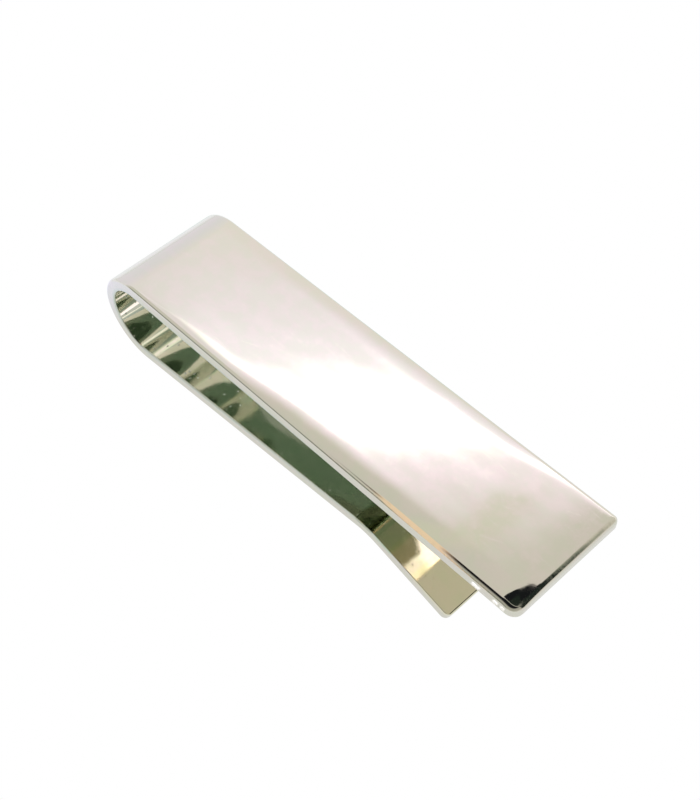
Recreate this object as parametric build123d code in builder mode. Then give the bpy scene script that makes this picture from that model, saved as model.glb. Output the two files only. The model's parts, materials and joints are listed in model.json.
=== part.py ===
from build123d import *
from math import cos, radians, sin
import os

# Spring money clip: one strip of polished metal folded back under itself.
# +X runs along the clip to its free end, +Y across the strip, +Z up.
# The origin is under the middle of the clip, level with its lowest point.
# All lengths are in millimetres and all angles in degrees.

# Driving dimensions
strip_width = 13.0
strip_thickness = 1.35
overall_length = 54.3
overall_height = 10.6
bend_radius = 5.05  # outer surface of the fold
leg_length = 30.5  # straight part of the sprung leg
leg_rise_angle = 4.8  # the leg climbs towards the face plate
flare_radius = 6.9  # centreline, where the leg turns away again
lip_fall_angle = 18.2  # slope of the lead-in lip below level
flex_distance = 10.4  # from the fold to where each arm's own flex is centred
edge_radius = 0.3  # tumbled long edges and end edges
corner_radius = 0.6  # corners of the two free ends, seen from above

# Places that follow from them
face_middle_height = overall_height - strip_thickness / 2
bend_middle_radius = bend_radius - strip_thickness / 2
free_end_x = overall_length / 2
bend_axis_x = bend_radius - overall_length / 2
face_flex_x = bend_axis_x + flex_distance

# The strip's middle line, in one run for each sub-part
with BuildLine(Plane.XZ) as middle_line:
    face_run = Line((face_flex_x, face_middle_height), (free_end_x, face_middle_height))
    face_root_run = Line(face_run @ 0, (bend_axis_x, face_middle_height))
    bend_upper_run = JernArc(face_root_run @ 1, face_root_run % 1, bend_middle_radius, 90)
    bend_lower_run = JernArc(
        bend_upper_run @ 1, bend_upper_run % 1, bend_middle_radius, 90 + leg_rise_angle
    )
    leg_direction = bend_lower_run % 1
    leg_root_run = Line(bend_lower_run @ 1, bend_lower_run @ 1 + leg_direction * flex_distance)
    leg_run = Line(leg_root_run @ 1, bend_lower_run @ 1 + leg_direction * leg_length)
    flare_run = JernArc(leg_run @ 1, leg_run % 1, flare_radius, -(leg_rise_angle + lip_fall_angle))

    # The lip stops where its rounded lower edge just reaches the resting plane.
    lip_fall = sin(radians(lip_fall_angle))
    edge_centre_offset = strip_thickness / 2 - edge_radius
    lip_end_height = edge_radius * (1 - lip_fall) + edge_centre_offset * cos(radians(lip_fall_angle))
    lip_length = ((flare_run @ 1).Z - lip_end_height) / lip_fall
    lip_run = Line(flare_run @ 1, flare_run @ 1 + (flare_run % 1) * lip_length)


def cross_section(run):
    """The strip cut square across the start of a run, with its long edges rounded."""
    with BuildSketch(Plane(origin=run @ 0, x_dir=(0, 1, 0), z_dir=run % 0)) as section:
        RectangleRounded(strip_width, strip_thickness, edge_radius)
    return section.sketch


def free_end_outline(length):
    """A stretch of strip seen from above, from x = 0 to a free end with rounded corners."""
    with BuildSketch(mode=Mode.PRIVATE) as outline:
        Rectangle(length, strip_width, align=(Align.MIN, Align.CENTER))
        fillet(outline.vertices().group_by(Axis.X)[-1], corner_radius)
    return outline.sketch


def rims(part, run):
    """Edges around a free stretch's two broad faces, without the cut end that meets the next part."""
    along = Axis(run @ 0, run % 0)
    across = part.faces().sort_by(SortBy.AREA)[-2:].edges()
    return across - across.group_by(along)[0]


# Face plate: the flat outer arm, from its flex line to the free end
with BuildPart() as face_plate:
    with BuildSketch(Plane(origin=face_run @ 0, x_dir=face_run % 0, z_dir=(0, 0, 1))):
        add(free_end_outline(face_run.length))
    extrude(amount=strip_thickness / 2, both=True)
    fillet(rims(face_plate, face_run), edge_radius)

# Face root: the rest of the outer arm, from its flex line back to the fold
with BuildPart() as face_root:
    sweep(sections=cross_section(face_root_run), path=face_root_run)

# Fold, upper and lower half, parted at its outermost point
with BuildPart() as bend_upper:
    sweep(sections=cross_section(bend_upper_run), path=bend_upper_run)

with BuildPart() as bend_lower:
    sweep(sections=cross_section(bend_lower_run), path=bend_lower_run)

# Leg root: the inner arm, from the fold to its flex line
with BuildPart() as leg_root:
    sweep(sections=cross_section(leg_root_run), path=leg_root_run)

# Spring leg: the straight inner arm that presses the notes against the face plate
with BuildPart() as spring_leg:
    sweep(sections=cross_section(leg_run), path=leg_run)

# Lead-in curve: turns the leg away from the face plate at the pinch
with BuildPart() as lead_in_curve:
    sweep(sections=cross_section(flare_run), path=flare_run)

# Lead-in lip: the sloping end that guides the notes in
with BuildPart() as lead_in_lip:
    lip_normal = (lip_run % 0).cross(Vector(0, 1, 0))
    with BuildSketch(Plane(origin=lip_run @ 0, x_dir=lip_run % 0, z_dir=lip_normal)):
        add(free_end_outline(lip_length))
    extrude(amount=strip_thickness / 2, both=True)
    fillet(rims(lead_in_lip, lip_run), edge_radius)

pieces = {
    "face_plate": face_plate,
    "face_root": face_root,
    "bend_upper": bend_upper,
    "bend_lower": bend_lower,
    "leg_root": leg_root,
    "spring_leg": spring_leg,
    "lead_in_curve": lead_in_curve,
    "lead_in_lip": lead_in_lip,
}
os.makedirs("parts", exist_ok=True)
for name, piece in pieces.items():
    piece.part.label = name
    export_step(piece.part, f"parts/{name}.step")
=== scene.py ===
"""The look of a spring money clip: one mirror-polished nickel strip, folded back under itself.

The strip is built as eight closed stretches, one for each CAD node, all cut from a single smooth surface,
so that they meet without a visible line at rest.
Lengths are in metres. "Outer" is the strip's side away from the notes, "inner" is the side that grips them.
"Near" is the -Y long edge, "far" is the +Y one.

The room and the floor are staging. They are painted so that the metal mirrors, from the photo's camera,
what the photographed metal mirrored. The metal itself is the same from every side.
"""
import json
import math

import bpy
import numpy as np
from mathutils import Matrix, Vector


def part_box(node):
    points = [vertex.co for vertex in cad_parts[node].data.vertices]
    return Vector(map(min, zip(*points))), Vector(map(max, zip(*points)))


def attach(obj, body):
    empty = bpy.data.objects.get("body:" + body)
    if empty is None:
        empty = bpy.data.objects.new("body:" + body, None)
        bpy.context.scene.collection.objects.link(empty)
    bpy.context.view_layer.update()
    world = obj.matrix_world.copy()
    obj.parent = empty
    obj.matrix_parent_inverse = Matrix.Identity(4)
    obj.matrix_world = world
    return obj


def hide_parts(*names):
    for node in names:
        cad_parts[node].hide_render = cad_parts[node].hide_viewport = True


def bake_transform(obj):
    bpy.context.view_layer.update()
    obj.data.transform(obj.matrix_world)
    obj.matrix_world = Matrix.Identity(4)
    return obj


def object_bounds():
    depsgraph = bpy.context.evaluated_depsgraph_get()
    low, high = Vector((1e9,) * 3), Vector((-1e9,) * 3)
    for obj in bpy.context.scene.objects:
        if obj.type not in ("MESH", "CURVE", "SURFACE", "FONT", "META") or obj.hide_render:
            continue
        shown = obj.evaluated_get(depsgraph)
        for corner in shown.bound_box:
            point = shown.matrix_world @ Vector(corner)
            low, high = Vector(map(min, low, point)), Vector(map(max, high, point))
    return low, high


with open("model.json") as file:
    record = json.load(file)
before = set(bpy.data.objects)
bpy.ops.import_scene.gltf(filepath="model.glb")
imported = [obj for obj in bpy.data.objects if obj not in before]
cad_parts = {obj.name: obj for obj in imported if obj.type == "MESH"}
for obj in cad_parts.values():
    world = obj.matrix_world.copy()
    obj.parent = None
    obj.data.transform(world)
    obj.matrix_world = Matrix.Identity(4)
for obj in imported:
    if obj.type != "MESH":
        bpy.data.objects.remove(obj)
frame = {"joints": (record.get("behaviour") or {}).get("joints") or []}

MM = 0.001
cad_low, cad_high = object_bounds()
joints = {joint["name"]: joint for joint in frame["joints"]}


# ---------------------------------------------------------------- sizes, read from the frame

face_low, face_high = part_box("face_plate")
root_low, root_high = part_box("face_root")
fold_low, fold_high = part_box("bend_upper")
leg_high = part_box("spring_leg")[1]
lip_low, lip_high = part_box("lead_in_lip")

width = face_high.y - face_low.y
thickness = face_high.z - face_low.z
half = thickness / 2
outer_radius = fold_high.z - fold_low.z
fold_radius = outer_radius - half
fold_axis = Vector((fold_high.x, fold_low.z))
flex_distance = root_high.x - root_low.x
lip_end_rounding = 0.3 * MM
FLARE_FITTING_ROUNDS = 12

# The leg's outer face touches the fold's outer circle and passes through the leg's flex axis.
leg_flex = joints["leg_flex"]["pos_m"]
to_flex = Vector((leg_flex[0], leg_flex[2])) - fold_axis
leg_rise = math.atan2(to_flex.y, to_flex.x) + math.asin(outer_radius / to_flex.length)
leg_start = fold_axis + fold_radius * Vector((math.sin(leg_rise), -math.cos(leg_rise)))
leg_length = (leg_high.x - half * math.sin(leg_rise) - leg_start.x) / math.cos(leg_rise)
leg_end = leg_start + leg_length * Vector((math.cos(leg_rise), math.sin(leg_rise)))

# The flare is the arc that leaves the leg without a kink and meets the lip's cut end.
lip_fall = leg_rise
for _ in range(FLARE_FITTING_ROUNDS):
    lip_start = Vector((lip_low.x + half * math.sin(lip_fall), lip_high.z - half * math.cos(lip_fall)))
    chord = lip_start - leg_end
    lip_fall = leg_rise - 2 * math.atan2(chord.y, chord.x)
flare_radius = chord.length / (2 * math.sin((leg_rise + lip_fall) / 2))
lip_end_x = lip_high.x - lip_end_rounding - (half - lip_end_rounding) * math.sin(lip_fall)
lip_length = (lip_end_x - lip_start.x) / math.cos(lip_fall) + lip_end_rounding

face_length = face_high.x - fold_axis.x
fold_length = fold_radius * (math.pi + leg_rise)
flare_length = flare_radius * (leg_rise + lip_fall)


# ---------------------------------------------------------------- the strip's middle line

# Each run is its length and its turn to the left, from the face's free end to the lip's.
runs = (
    (face_length, 0.0),
    (fold_length, math.pi + leg_rise),
    (leg_length, 0.0),
    (flare_length, -(leg_rise + lip_fall)),
    (lip_length, 0.0),
)
strip_length = sum(length for length, _ in runs)

# Places along the middle line where one stretch ends and the next begins
cut_face_flex = face_length - flex_distance
cut_fold = face_length
cut_fold_middle = face_length + fold_radius * math.pi / 2
cut_leg = face_length + fold_length
cut_leg_flex = cut_leg + flex_distance
cut_flare = cut_leg + leg_length
cut_lip = cut_flare + flare_length


def middle_line(along):
    """x, z and heading of the middle line at each length along it."""
    x = np.full_like(along, face_high.x)
    z = np.full_like(along, face_high.z - half)
    heading = np.full_like(along, math.pi)
    passed = 0.0
    for length, turn in runs:
        step = np.clip(along - passed, 0, length)
        bend = step * turn / length
        reach = step * np.sinc(bend / (2 * math.pi))
        x += reach * np.cos(heading + bend / 2)
        z += reach * np.sin(heading + bend / 2)
        heading += bend
        passed += length
    return x, z, heading


# ---------------------------------------------------------------- the strip's surface

ARC_STEPS = 14
FACE_STEPS = 44
SIDE_STEPS = 4
END_STEPS = 20
END_ZONE = 2.4 * MM  # where the rings crowd together at a free end
CROWN_POWER = 2.4

# Rounding at the two free ends, on the face and on the lip: of the corners as seen from above, and of
# the end edges
NEAR_CORNER = (1.1 * MM, 0.65 * MM)
FAR_CORNER = (0.45 * MM, 0.65 * MM)
OUTER_END = (0.5 * MM, 0.3 * MM)
INNER_END = 0.25 * MM

# How deep the polishing wheel went, and how far in from the corner or the end
CORNER_DROP, CORNER_REACH = 0.29 * MM, 3.9 * MM
END_DROP, END_REACH = 0.02 * MM, 0.45 * MM
CORNER_STRETCH = 2.4  # how much narrower the drop is lengthwise than across
FAR_CROWN_DEPTH = 0.0165


def smooth(low, high, value):
    """0 below low, 1 above high, with a soft ramp between. low may be the larger one."""
    share = np.clip((value - low) / (high - low), 0, 1)
    return share * share * (3 - 2 * share)


def rounded_reach(reach, radius, to_end):
    """How far a side reaches where its end corner, of this radius, is rounded off."""
    inside = np.clip(radius - to_end, 0, radius)
    return reach - radius + np.sqrt(radius**2 - inside**2)


def corner_sizes(along):
    """Across and outward size of the four rounded long edges, for each ring.

    The face's near edge is polished rounder towards its free end."""
    rounder = smooth(30 * MM, 17 * MM, along)
    inner = (0.16 - 0.09 * smooth(cut_leg_flex, cut_flare, along)) * MM
    outer_near = ((0.34 + 0.18 * rounder) * MM, (0.30 + 0.10 * rounder) * MM)
    outer_far = (np.full_like(along, 0.34 * MM), np.full_like(along, 0.28 * MM))
    return outer_far, outer_near, (inner, inner), (inner, inner)


def surface(along):
    """Points of the whole strip, as rings x points x (along, across, outward)."""
    to_end = np.minimum(along, strip_length - along)
    on_face = along < strip_length / 2
    near = rounded_reach(width / 2, np.where(on_face, *NEAR_CORNER), to_end)
    far = rounded_reach(width / 2, np.where(on_face, *FAR_CORNER), to_end)
    outer = rounded_reach(half, np.where(on_face, *OUTER_END), to_end)
    inner = rounded_reach(half, INNER_END, to_end)
    shrink = (outer + inner) / thickness

    sides = (far, -near, -near, far)
    faces = (outer, outer, -inner, -inner)
    steps = (FACE_STEPS, SIDE_STEPS, FACE_STEPS, SIDE_STEPS)
    arcs = []
    for index, (across_size, outward_size) in enumerate(corner_sizes(along)):
        angle = (index + np.linspace(0, 1, ARC_STEPS + 1)) * math.pi / 2
        outward_size = outward_size * shrink
        centre_across = sides[index] - np.sign(sides[index]) * across_size
        centre_outward = faces[index] - np.sign(faces[index]) * outward_size
        across = centre_across[:, None] + across_size[:, None] * np.cos(angle)
        outward = centre_outward[:, None] + outward_size[:, None] * np.sin(angle)
        arcs.append(np.stack((across, outward), 2))

    loop = []
    for index, arc in enumerate(arcs):
        following = arcs[(index + 1) % 4]
        share = (1 - np.cos(np.linspace(0, math.pi, steps[index] + 1)[1:-1])) / 2
        share = share[None, :, None]
        loop.append(arc)
        loop.append(arc[:, -1:] * (1 - share) + following[:, :1] * share)
    loop = np.concatenate(loop, 1)
    return np.concatenate((np.broadcast_to(along[:, None, None], loop.shape[:2] + (1,)), loop), 2)


def polish(points):
    """Lowers the outer side where the polishing wheel took most off: towards both long edges, so that
    the face is slightly crowned, and at the free end, most of all round its near corner."""
    along, across, outward = points[..., 0], points[..., 1], points[..., 2]
    near_start = 4.1 + 0.45 * smooth(26 * MM, 36 * MM, along) + 0.95 * smooth(37 * MM, 49 * MM, along)
    near_depth = 0.018 + 0.03 * smooth(38 * MM, 47 * MM, along)
    far_start = 4.6 + 0.9 * smooth(13 * MM, 4 * MM, along)
    near = np.clip(-across / MM - near_start, 0, None)
    far = np.clip(across / MM - far_start, 0, None)
    crown = (near_depth * near**CROWN_POWER + FAR_CROWN_DEPTH * far**CROWN_POWER) * MM
    crown = crown * smooth(cut_fold_middle, cut_fold, along)

    from_corner = ((CORNER_STRETCH * along) ** 3 + np.abs(across + width / 2) ** 3) ** (1 / 3)
    end_drop = CORNER_DROP * np.clip(1 - from_corner / CORNER_REACH, 0, 1) ** 1.35
    end_drop = end_drop + END_DROP * np.clip(1 - along / END_REACH, 0, 1) ** 1.7

    share = np.clip((outward + half) / thickness, 0, 1)
    polished = points.copy()
    polished[..., 2] -= (crown + end_drop) * share
    return polished


def place(points):
    """Strip points (along, across, outward) as places in the frame."""
    x, z, heading = middle_line(points[:, 0, 0])
    out_x = np.sin(heading)[:, None]
    out_z = -np.cos(heading)[:, None]
    outward = points[..., 2]
    return np.stack((x[:, None] + out_x * outward, points[..., 1], z[:, None] + out_z * outward), 2)


def surface_normals(placed):
    """Outward unit normals of the smooth surface, from its neighbours both ways."""
    lengthwise = np.gradient(placed, axis=0)
    round_ring = np.roll(placed, -1, 1) - np.roll(placed, 1, 1)
    normals = np.cross(lengthwise, round_ring)
    return normals / np.linalg.norm(normals, axis=2, keepdims=True)


def stations(start, end, spacing):
    count = max(2, math.ceil((end - start) / spacing)) + 1
    return np.linspace(start, end, count)


# Node, where it starts and ends along the strip, and the spacing of its rings
ARC_SPACING = fold_radius * math.radians(1.5)
FLAT_SPACING = 0.35 * MM
stretches = (
    ("face_plate", 0.0, cut_face_flex, FLAT_SPACING),
    ("face_root", cut_face_flex, cut_fold, FLAT_SPACING),
    ("bend_upper", cut_fold, cut_fold_middle, ARC_SPACING),
    ("bend_lower", cut_fold_middle, cut_leg, ARC_SPACING),
    ("leg_root", cut_leg, cut_leg_flex, FLAT_SPACING),
    ("spring_leg", cut_leg_flex, cut_flare, FLAT_SPACING),
    ("lead_in_curve", cut_flare, cut_lip, ARC_SPACING),
    ("lead_in_lip", cut_lip, strip_length, FLAT_SPACING),
)


def ring_places():
    """Lengths along the strip of every ring, and the first and last ring of each stretch."""
    crowded = END_ZONE * (1 - np.cos(np.linspace(0, math.pi / 2, END_STEPS + 1)))
    places, spans = [], {}
    count = 0
    for name, start, end, spacing in stretches:
        if start == 0:
            rings = np.concatenate((crowded[:-1], stations(END_ZONE, end, spacing)))
        elif end == strip_length:
            rings = np.concatenate((stations(start, end - END_ZONE, spacing), end - crowded[-2::-1]))
        else:
            rings = stations(start, end, spacing)
        places.append(rings if not places else rings[1:])
        first = count - 1 if count else 0
        count += len(places[-1])
        spans[name] = (first, count - 1)
    return np.concatenate(places), spans


def build_strip():
    """The eight closed stretches as Blender objects, by node name."""
    along, spans = ring_places()
    points = polish(surface(along))
    placed = place(points)
    normals = surface_normals(placed)
    _, _, heading = middle_line(along)
    ring_size = placed.shape[1]
    pieces = {}
    for name, (first, last) in spans.items():
        rings = last - first + 1
        vertices = placed[first : last + 1].reshape(-1, 3)
        index = np.arange(rings * ring_size).reshape(rings, ring_size)
        following = np.roll(index, -1, 1)
        quads = np.stack((index[:-1], index[1:], following[1:], following[:-1]), 2).reshape(-1, 4)
        faces = quads.tolist() + [index[0].tolist(), index[-1][::-1].tolist()]
        mesh = bpy.data.meshes.new("polished_" + name)
        mesh.from_pydata(vertices.tolist(), [], faces)
        mesh.validate()
        mesh.shade_smooth()

        corner_normals = normals[first : last + 1].reshape(-1, 3)[quads.ravel()]
        caps = []
        for ring, way in ((first, -1), (last, 1)):
            ahead = np.array((math.cos(heading[ring]), 0.0, math.sin(heading[ring])))
            caps.append(np.tile(way * ahead, (ring_size, 1)))
        mesh.normals_split_custom_set(np.concatenate([corner_normals] + caps).tolist())

        strip_place = mesh.attributes.new("strip", "FLOAT_VECTOR", "POINT")
        strip_place.data.foreach_set("vector", points[first : last + 1].astype(np.float32).ravel())
        piece = bpy.data.objects.new("polished_" + name, mesh)
        bpy.context.scene.collection.objects.link(piece)
        pieces[name] = piece
    return pieces


strip = build_strip()


# ---------------------------------------------------------------- bodies

for name in ("face_plate", "face_root"):
    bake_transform(strip[name])
for name in ("bend_upper", "bend_lower"):
    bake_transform(strip[name])
for name in ("leg_root", "spring_leg"):
    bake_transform(strip[name])
for name in ("lead_in_curve", "lead_in_lip"):
    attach(strip[name], "arm")
for name, piece in strip.items():
    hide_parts(name)


# ---------------------------------------------------------------- shader arithmetic


class Field:
    """A value in a node tree, so that shader formulas can be written as plain arithmetic."""

    def __init__(self, tree, socket):
        self.tree = tree
        self.socket = socket

    def math(self, operation, *others):
        node = self.tree.nodes.new("ShaderNodeMath")
        node.operation = operation
        for slot, value in zip(node.inputs, (self, *others)):
            connect(self.tree, value, slot)
        return Field(self.tree, node.outputs[0])

    def __add__(self, other):
        return self.math("ADD", other)

    def __sub__(self, other):
        return self.math("SUBTRACT", other)

    def __mul__(self, other):
        return self.math("MULTIPLY", other)

    def __truediv__(self, other):
        return self.math("DIVIDE", other)

    def above(self, floor):
        return self.math("MAXIMUM", floor)

    def below(self, ceiling):
        return self.math("MINIMUM", ceiling)

    def size(self):
        return self.math("ABSOLUTE")

    def ramp(self, low, high):
        """0 at low, 1 at high, soft between, in either direction."""
        node = self.tree.nodes.new("ShaderNodeMapRange")
        node.interpolation_type = "SMOOTHSTEP"
        rising = low < high
        for slot, value in zip(node.inputs, (self, min(low, high), max(low, high), 1 - rising, rising)):
            connect(self.tree, value, slot)
        return Field(self.tree, node.outputs[0])


def connect(tree, value, slot):
    if isinstance(value, Field):
        tree.links.new(value.socket, slot)
    else:
        slot.default_value = value


def split(tree, vector):
    node = tree.nodes.new("ShaderNodeSeparateXYZ")
    tree.links.new(vector, node.inputs[0])
    return [Field(tree, output) for output in node.outputs]


def mix(tree, share, first, second):
    """A colour between first and second. Either may be a Field or an (r, g, b)."""
    node = tree.nodes.new("ShaderNodeMix")
    node.data_type = "RGBA"
    node.clamp_factor = True
    connect(tree, share, node.inputs[0])
    for value, slot in ((first, node.inputs[6]), (second, node.inputs[7])):
        connect(tree, value if isinstance(value, Field) else (*value, 1), slot)
    return Field(tree, node.outputs[2])


def profile(tree, value, levels):
    """A colour that runs smoothly through (value, colour) levels, which may be brighter than 1."""
    low, high = levels[0][0], levels[-1][0]
    peak = max(max(colour) for _, colour in levels)
    node = tree.nodes.new("ShaderNodeValToRGB")
    ramp = node.color_ramp
    ramp.interpolation = "B_SPLINE"
    for _ in levels[2:]:
        ramp.elements.new(0.5)
    for element, (at, colour) in zip(ramp.elements, levels):
        element.position = (at - low) / (high - low)
        element.color = (*(channel / peak for channel in colour), 1)
    connect(tree, (value - low) / (high - low), node.inputs[0])
    scaled = tree.nodes.new("ShaderNodeVectorMath")
    scaled.operation = "SCALE"
    tree.links.new(node.outputs[0], scaled.inputs[0])
    scaled.inputs["Scale"].default_value = peak
    return Field(tree, scaled.outputs[0])


# ---------------------------------------------------------------- light


# Softbox profile: what is seen at each distance from its middle line, from the room's near right
# side, through the box, to its far left side
SOFTBOX_MIDDLE = 1.071
SOFTBOX_LEVELS = (
    (-0.60, (0.80, 0.81, 0.77)),
    (-0.27, (0.81, 0.80, 0.75)),
    (-0.21, (0.93, 0.90, 0.89)),
    (-0.15, (1.15, 1.09, 1.19)),
    (-0.11, (1.32, 1.21, 1.38)),
    (-0.08, (1.45, 1.34, 1.55)),
    (-0.06, (2.00, 2.00, 2.10)),
    (-0.04, (2.40, 2.40, 2.40)),
    (0.04, (2.40, 2.40, 2.40)),
    (0.06, (1.80, 1.78, 1.95)),
    (0.08, (1.46, 1.42, 1.62)),
    (0.11, (1.37, 1.33, 1.51)),
    (0.17, (1.25, 1.21, 1.36)),
    (0.23, (1.17, 1.13, 1.25)),
    (0.29, (1.11, 1.08, 1.15)),
    (0.40, (1.08, 1.05, 1.07)),
    (0.80, (1.06, 1.04, 1.05)),
)


# The way from the clip to the photo's camera. The room's grey disc and black shapes lie around it.
TO_CAMERA = (0.451, -0.4175, 0.789)
DISC_EDGE = (0.612, 0.637)  # cosine of the angle from TO_CAMERA, over the disc's soft edge

# Ray depth between a first and a second mirroring, as the world counts it and as a surface does
DEEP_IN_WORLD = (2.4, 2.6)
DEEP_ON_SURFACE = (1.4, 1.6)


class Room:
    """Where a ray that leaves the clip meets the room, on the room's own axes.

    x, y and z are its direction. u and v are x and y where z is 1: the box overhead is straight in them.
    deep is 1 for rays that were mirrored before. They see a paler, greener room, which isn't physical: it
    is tuned to the inside of the fold."""

    def __init__(self, tree, light_path):
        self.tree = tree
        direction = tree.nodes.new("ShaderNodeTexCoord").outputs["Generated"]
        true_x, true_y, true_z = split(tree, direction)
        self.true_x = true_x
        self.towards_camera = true_x * TO_CAMERA[0] + true_y * TO_CAMERA[1] + true_z * TO_CAMERA[2]
        x = true_x * 1.085 + true_z * 0.0681
        y = true_y * 1.085 - true_z * 0.0403
        reach = (x * x + y * y + true_z * true_z).math("SQRT")
        self.x, self.y, self.z = x / reach, y / reach, true_z / reach
        up = self.z.above(0.05)
        self.u = self.x / up
        self.v = self.y / up
        self.ahead = self.z.ramp(0.02, 0.10)
        self.above_panel_foot = self.v.ramp(0.15, 0.20)
        self.deep = Field(tree, light_path.outputs["Ray Depth"]).ramp(*DEEP_IN_WORLD)


def paint_softbox(room):
    """The long box overhead, between a pale near right side and a pale far left side."""
    tree, u, v = room.tree, room.u, room.v
    from_middle = v - u - SOFTBOX_MIDDLE
    colour = profile(tree, from_middle, SOFTBOX_LEVELS)
    box_end = (u + v).ramp(-0.22, -0.38) * from_middle.ramp(-0.3, -0.1)
    colour = mix(tree, box_end, colour, (1.06, 1.04, 1.10))
    colour = mix(tree, room.x.ramp(-0.62, -0.90), colour, (1.00, 1.00, 1.13))
    shaded_side = u.ramp(-0.325, -0.285) * from_middle.ramp(-0.09, -0.14)
    colour = mix(tree, shaded_side, colour, (0.83, 0.815, 0.775))
    # a faint gap between two lamps, and the dark edge of a wall beside the box
    gap = (from_middle - 0.022).size().ramp(0.010, 0.003)
    colour = mix(tree, gap * 0.8, colour, (1.45, 1.42, 1.62))
    wall = (u + 0.357).size().ramp(0.026, 0.010) * from_middle.ramp(-0.10, -0.16) * v.ramp(0.63, 0.54)
    return mix(tree, wall * 0.55, colour, (0.86, 0.88, 0.74))


def paint_right_side(room, colour):
    """A grey right side with one black panel, which is paler at its top, and a dark patch behind."""
    tree, y = room.tree, room.y
    right = room.u.ramp(-0.14, 0.02) * room.z.ramp(0.16, 0.26) * y.ramp(0.54, 0.46)
    panel = mix(tree, y.ramp(0.432, 0.462), (0.02, 0.03, 0.025), (0.30, 0.34, 0.28))
    panel = mix(tree, y.ramp(0.455, 0.482), panel, (0.74, 0.73, 0.64))
    side = mix(tree, room.above_panel_foot, (0.56, 0.56, 0.50), panel)
    colour = mix(tree, right, colour, mix(tree, room.deep, side, (0.35, 0.45, 0.42)))
    behind = y.ramp(-0.62, -0.80) * room.x.ramp(0.1, -0.1) * room.z.ramp(0.50, 0.40)
    return mix(tree, behind * room.ahead, colour, (0.30, 0.33, 0.29))


def paint_camera_side(room, colour):
    """A grey disc around the camera, black shapes on it and beside the panel, and one warm strip.

    The black is kept to the directions that the near edge and the near free corner mirror."""
    tree, u, v = room.tree, room.u, room.v
    disc = room.towards_camera.ramp(*DISC_EDGE)
    grey = mix(tree, room.z.ramp(0.10, 0.45), (0.62, 0.62, 0.58), (0.50, 0.50, 0.46))
    below_panel = disc * room.ahead * room.above_panel_foot.ramp(1, 0)
    deep_colour = (0.5, 0.62, 0.62)
    colour = mix(tree, below_panel, colour, mix(tree, room.deep, grey, deep_colour))
    spot = ((u + 0.10) * (u + 0.10) + (v - 0.25) * (v - 0.25)).ramp(0.027, 0.020)
    overhead = room.true_x.ramp(-0.20, -0.26).math("MAXIMUM", v.ramp(0.10, 0.04))
    overhead = overhead * disc * room.z.ramp(0.68, 0.86)
    black = (spot * room.above_panel_foot).math("MAXIMUM", overhead) * room.ahead
    colour = mix(tree, black, colour, mix(tree, room.deep, (0.012, 0.014, 0.016), deep_colour))
    warm = (room.x + 0.3335).size().ramp(0.0385, 0.0245) * v.ramp(0.0, -0.15) * room.ahead
    return mix(tree, warm, colour, (1.15, 0.90, 0.68))


def paint_low_window(room, colour):
    """A bright window low down beyond the open end, which only deep rays see."""
    tree, y = room.tree, room.y
    window = room.x.ramp(0.52, 0.62) * y.ramp(0.24, 0.28) * y.ramp(0.45, 0.42) * room.deep
    high_enough = room.z.ramp(0.40, 0.48)
    low_part = mix(tree, y.ramp(0.343, 0.351) * high_enough, (2.6, 2.15, 2.4), (1.4, 1.75, 1.5))
    panes = mix(tree, y.ramp(0.356, 0.365) * high_enough, low_part, (4.6, 4.7, 6.6))
    return mix(tree, window, colour, panes)


def build_world():
    """The room that the metal mirrors. The camera sees it as plain white."""
    world = bpy.data.worlds.new("studio")
    bpy.context.scene.world = world
    world.use_nodes = True
    world.cycles.sampling_method = "NONE"
    tree = world.node_tree
    tree.nodes.clear()
    light_path = tree.nodes.new("ShaderNodeLightPath")
    room = Room(tree, light_path)
    colour = paint_softbox(room)
    for paint in (paint_right_side, paint_camera_side, paint_low_window):
        colour = paint(room, colour)

    background = tree.nodes.new("ShaderNodeBackground")
    tree.links.new(colour.socket, background.inputs["Color"])
    plain = tree.nodes.new("ShaderNodeBackground")
    plain.inputs["Color"].default_value = (1, 1, 1, 1)
    either = tree.nodes.new("ShaderNodeMixShader")
    tree.links.new(light_path.outputs["Is Camera Ray"], either.inputs[0])
    tree.links.new(background.outputs[0], either.inputs[1])
    tree.links.new(plain.outputs[0], either.inputs[2])
    tree.links.new(either.outputs[0], tree.nodes.new("ShaderNodeOutputWorld").inputs[0])


FLOOR_REACH = 20 * width
GLINT_Y = -11.2
GLINTS = ((19.35, 0.55), (21.7, 0.33), (22.6, 0.38))  # x and half length of each, in millimetres


def paint_floor(tree, light_path):
    """The floor's own light, by place in millimetres: tinted areas and three glints."""
    spot = tree.nodes.new("ShaderNodeNewGeometry").outputs["Position"]
    floor_x, floor_y, _ = (value * (1 / MM) for value in split(tree, spot))
    near_left = floor_x.ramp(-26, -34) * floor_y.ramp(0, -6)
    colour = mix(tree, near_left, (0.72, 0.74, 0.76), (0.84, 0.86, 1.08))
    far_left = mix(tree, floor_x.ramp(-50, -130), (0.86, 0.88, 0.98), (0.72, 0.74, 0.80))
    colour = mix(tree, floor_x.ramp(-36, -48), colour, far_left)
    behind = floor_y.ramp(5, 9) * floor_x.ramp(2, -6) * floor_x.ramp(-40, -34)
    colour = mix(tree, behind, colour, (0.52, 0.68, 0.66))
    deep = Field(tree, light_path.outputs["Ray Depth"]).ramp(*DEEP_ON_SURFACE)
    window_side = floor_x.ramp(0, 20) * floor_y.ramp(15, 24) * deep
    colour = mix(tree, window_side, colour, (2.15, 1.95, 1.9))
    for middle, spread in GLINTS:
        lengthwise = (floor_x - middle).size().ramp(spread, spread * 0.7)
        glint = lengthwise * (floor_y - GLINT_Y).size().ramp(0.22, 0.13)
        colour = mix(tree, glint, colour, (2.0, 2.0, 2.3))
    return colour


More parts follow.
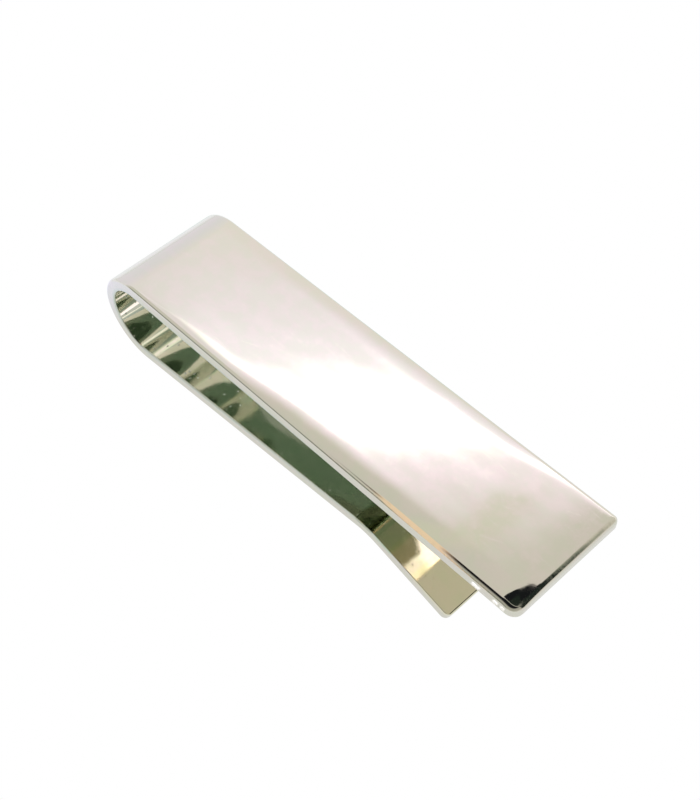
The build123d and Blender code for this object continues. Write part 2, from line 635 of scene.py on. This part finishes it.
def build_floor():
    """A pale floor that lights the metal and is mirrored in it.

    It is clear to the camera, which sees the equally pale room behind it. So it never hides the
    underside, or the arm, which swings below the floor's level when the clip is opened."""
    mesh = bpy.data.meshes.new("floor")
    reach = FLOOR_REACH
    corners = ((-reach, -reach, 0), (reach, -reach, 0), (reach, reach, 0), (-reach, reach, 0))
    mesh.from_pydata(corners, [], [(0, 1, 2, 3)])
    floor = bpy.data.objects.new("floor", mesh)
    bpy.context.scene.collection.objects.link(floor)
    material = bpy.data.materials.new("pale_floor")
    material.use_nodes = True
    tree = material.node_tree
    tree.nodes.clear()
    light_path = tree.nodes.new("ShaderNodeLightPath")
    paper = tree.nodes.new("ShaderNodeBsdfDiffuse")
    paper.inputs["Color"].default_value = (0.27, 0.27, 0.27, 1)
    glow = tree.nodes.new("ShaderNodeEmission")
    tree.links.new(paint_floor(tree, light_path).socket, glow.inputs["Color"])
    lit = tree.nodes.new("ShaderNodeAddShader")
    tree.links.new(paper.outputs[0], lit.inputs[0])
    tree.links.new(glow.outputs[0], lit.inputs[1])
    clear = tree.nodes.new("ShaderNodeBsdfTransparent")
    choice = tree.nodes.new("ShaderNodeMixShader")
    from_below = Field(tree, tree.nodes.new("ShaderNodeNewGeometry").outputs["Backfacing"])
    seen = Field(tree, light_path.outputs["Is Camera Ray"])
    connect(tree, from_below.math("MAXIMUM", seen), choice.inputs[0])
    tree.links.new(lit.outputs[0], choice.inputs[1])
    tree.links.new(clear.outputs[0], choice.inputs[2])
    tree.links.new(choice.outputs[0], tree.nodes.new("ShaderNodeOutputMaterial").inputs[0])
    mesh.materials.append(material)


# ---------------------------------------------------------------- metal


def combine(tree, x, y, z):
    node = tree.nodes.new("ShaderNodeCombineXYZ")
    for value, slot in zip((x, y, z), node.inputs):
        connect(tree, value, slot)
    return Field(tree, node.outputs[0])


def noise(tree, at, detail=2.0, roughness=0.5):
    node = tree.nodes.new("ShaderNodeTexNoise")
    connect(tree, at, node.inputs["Vector"])
    node.inputs["Scale"].default_value = 1.0
    node.inputs["Detail"].default_value = detail
    node.inputs["Roughness"].default_value = roughness
    return Field(tree, node.outputs["Fac"])


def slanted(tree, along, across, degrees, along_scale, across_scale):
    """A place for long marks that run at an angle to the strip."""
    cosine, sine = math.cos(math.radians(degrees)), math.sin(math.radians(degrees))
    lengthways = along * cosine + across * sine
    sideways = across * cosine - along * sine
    return combine(tree, lengthways * along_scale, sideways * across_scale, degrees)


def bump(tree, height, distance, below=None):
    node = tree.nodes.new("ShaderNodeBump")
    connect(tree, height, node.inputs["Height"])
    node.inputs["Distance"].default_value = distance
    if below:
        connect(tree, below, node.inputs["Normal"])
    return Field(tree, node.outputs[0])


# Direction in degrees, density across, and how rare each family of hairline scratches is
SCRATCHES = ((4, 9.0, 0.71), (-23, 11.0, 0.75), (38, 9.0, 0.76))


def scratch_marks(tree, along, across):
    scratches = None
    for degrees, across_scale, limit in SCRATCHES:
        mark = noise(tree, slanted(tree, along, across, degrees, 0.22, across_scale), 1.0)
        mark = mark.ramp(limit, limit + 0.05)
        scratches = mark if scratches is None else scratches.math("MAXIMUM", mark)
    return scratches


def pit_marks(tree, along, across, inner_side):
    """A few clustered pits on the leg's inner side: the middles of scattered cells."""
    cells = tree.nodes.new("ShaderNodeTexVoronoi")
    wander = noise(tree, combine(tree, along * 3.0, across * 3.0, 5.0), 1.0) * 0.3
    connect(tree, combine(tree, along * 1.4 + wander, across * 1.4 - wander, 0.0), cells.inputs["Vector"])
    cells.voronoi_dimensions = "2D"
    cells.inputs["Scale"].default_value = 1.0
    chosen, _, _ = split(tree, cells.outputs["Color"])
    clusters = noise(tree, combine(tree, along * 0.35, across * 0.35, 70.0), 1.0).ramp(0.48, 0.56)
    pit = Field(tree, cells.outputs["Distance"]).ramp(0.15, 0.03) * chosen.ramp(0.62, 0.66)
    pit = pit * inner_side * clusters * along.ramp(cut_leg / MM + 14, cut_leg / MM + 12)
    return pit * across.ramp(-1.5, -3.5)


def nickel_with_painted_shade_and_reflections(tree, along, inner_side, cloud, blotch):
    """Nickel with faint warm and cool clouds, painted shade on the inner side, and painted reflections and
    shade round the flare and lip.
    """
    lip, flare = cut_lip / MM, cut_flare / MM
    # painted shade: the inner side is darker and greener, up to the lip
    inside = inner_side * along.ramp(16, 30) * along.ramp(lip + 4, lip)
    painted_inside_shade = mix(tree, blotch.ramp(0.4, 0.6), (0.555, 0.590, 0.495), (0.580, 0.600, 0.515))
    colour = mix(tree, cloud.ramp(0.35, 0.65), (0.665, 0.648, 0.540), (0.694, 0.640, 0.562))
    colour = mix(tree, inside, colour, painted_inside_shade)
    # painted reflection: the lip's inner side, past its first 4 mm, is paler and yellower
    lip_reflection = inner_side * along.ramp(lip + 4.0, lip + 4.5)
    colour = mix(tree, lip_reflection, colour, (0.735, 0.690, 0.500))
    # painted reflection: a dark green band on the inner side where the flare meets the lip
    dark_reflection_band = inner_side * along.ramp(lip - 0.6, lip)
    dark_reflection_band = dark_reflection_band * along.ramp(lip + 1.9, lip + 1.4)
    colour = mix(tree, dark_reflection_band, colour, (0.47, 0.57, 0.41))
    # painted shade: a dark band on the inner side, about 1 mm into the flare
    crease_shade = inner_side * (along - (flare + 1.0)).size().ramp(1.15, 0.8)
    return mix(tree, crease_shade * 0.8, colour, (0.25, 0.30, 0.18))


def build_metal():
    """Mirror-polished nickel plate: faint waves, polishing lines, hairline scratches, smudges, worn
    edges, and a few pits on the inside, where the polishing wheel doesn't reach."""
    material = bpy.data.materials.new("polished_nickel")
    material.use_nodes = True
    tree = material.node_tree
    shader = tree.nodes["Principled BSDF"]
    place_on_strip = tree.nodes.new("ShaderNodeAttribute")
    place_on_strip.attribute_name = "strip"
    along, across, outward = (
        value * (1 / MM) for value in split(tree, place_on_strip.outputs["Vector"])
    )
    half_mm, width_mm = half / MM, width / MM
    inner_side = (outward / half_mm).ramp(-0.2, -0.9)

    # slow unevenness of the surface, then fine lines, then two sizes of smudge
    waves = noise(tree, combine(tree, along * 0.16, across * 0.30, outward * 0.2), 1.0)
    lines = noise(tree, combine(tree, along * 0.30, across * 7.0, outward * 7.0), 3.0)
    cloud = noise(tree, combine(tree, along * 0.6, across * 0.7, outward + 9.0), 4.0, 0.6)
    blotch = noise(tree, combine(tree, along * 0.9, across * 1.2, outward + 31.0), 3.0, 0.6)
    scratches = scratch_marks(tree, along, across)
    pit = pit_marks(tree, along, across, inner_side)

    edge = (across.size() * (2 / width_mm)).ramp(0.955, 0.995).math("MAXIMUM", along.ramp(0.7, 0.1))
    patchy = noise(tree, combine(tree, along * 2.2, across * 5.0, outward * 5.0), 3.0).ramp(0.42, 0.62)
    wear = edge * patchy

    colour = nickel_with_painted_shade_and_reflections(tree, along, inner_side, cloud, blotch)
    colour = mix(tree, wear * 0.35, colour, (0.72, 0.67, 0.58))
    colour = mix(tree, scratches * 0.15, colour, (0.60, 0.58, 0.50))
    tree.links.new(colour.socket, shader.inputs["Base Color"])
    rough = cloud.ramp(0.40, 0.75) * 0.035 + blotch.ramp(0.45, 0.75) * 0.03 + 0.035
    rough = rough + scratches * 0.05 + wear * 0.08 + pit * 0.2
    connect(tree, rough, shader.inputs["Roughness"])
    shader.inputs["Metallic"].default_value = 1

    normal = bump(tree, waves, 0.012 * MM)
    normal = bump(tree, lines, 0.00012 * MM, normal)
    normal = bump(tree, scratches, -0.0003 * MM, normal)
    normal = bump(tree, pit, -0.05 * MM, normal)
    connect(tree, normal, shader.inputs["Normal"])
    return material


metal = build_metal()
for piece in strip.values():
    piece.data.materials.append(metal)
build_world()
build_floor()


# ---------------------------------------------------------------- camera

camera_azimuth = math.radians(47.19)
camera_elevation = math.radians(52.09)
camera_roll = math.radians(-1.41)
object_length = cad_high.x - cad_low.x
camera_distance = 2.2625 * object_length
aim = Vector((0.0426 * object_length, -0.0701 * width, face_high.z))

camera_data = bpy.data.cameras.new("camera")
camera_data.lens = 61.87
camera = bpy.data.objects.new("camera", camera_data)
bpy.context.scene.collection.objects.link(camera)
bpy.context.scene.camera = camera
back = Vector((
    math.sin(camera_azimuth) * math.cos(camera_elevation),
    -math.cos(camera_azimuth) * math.cos(camera_elevation),
    math.sin(camera_elevation),
))
camera.location = aim + camera_distance * back
facing = (-back).to_track_quat("-Z", "Y").to_matrix().to_4x4()
camera.rotation_euler = (facing @ Matrix.Rotation(camera_roll, 4, "Z")).to_euler()

scene = bpy.context.scene
scene.view_settings.view_transform = "Standard"
scene.cycles.use_denoising = True
scene.cycles.glossy_bounces = 12
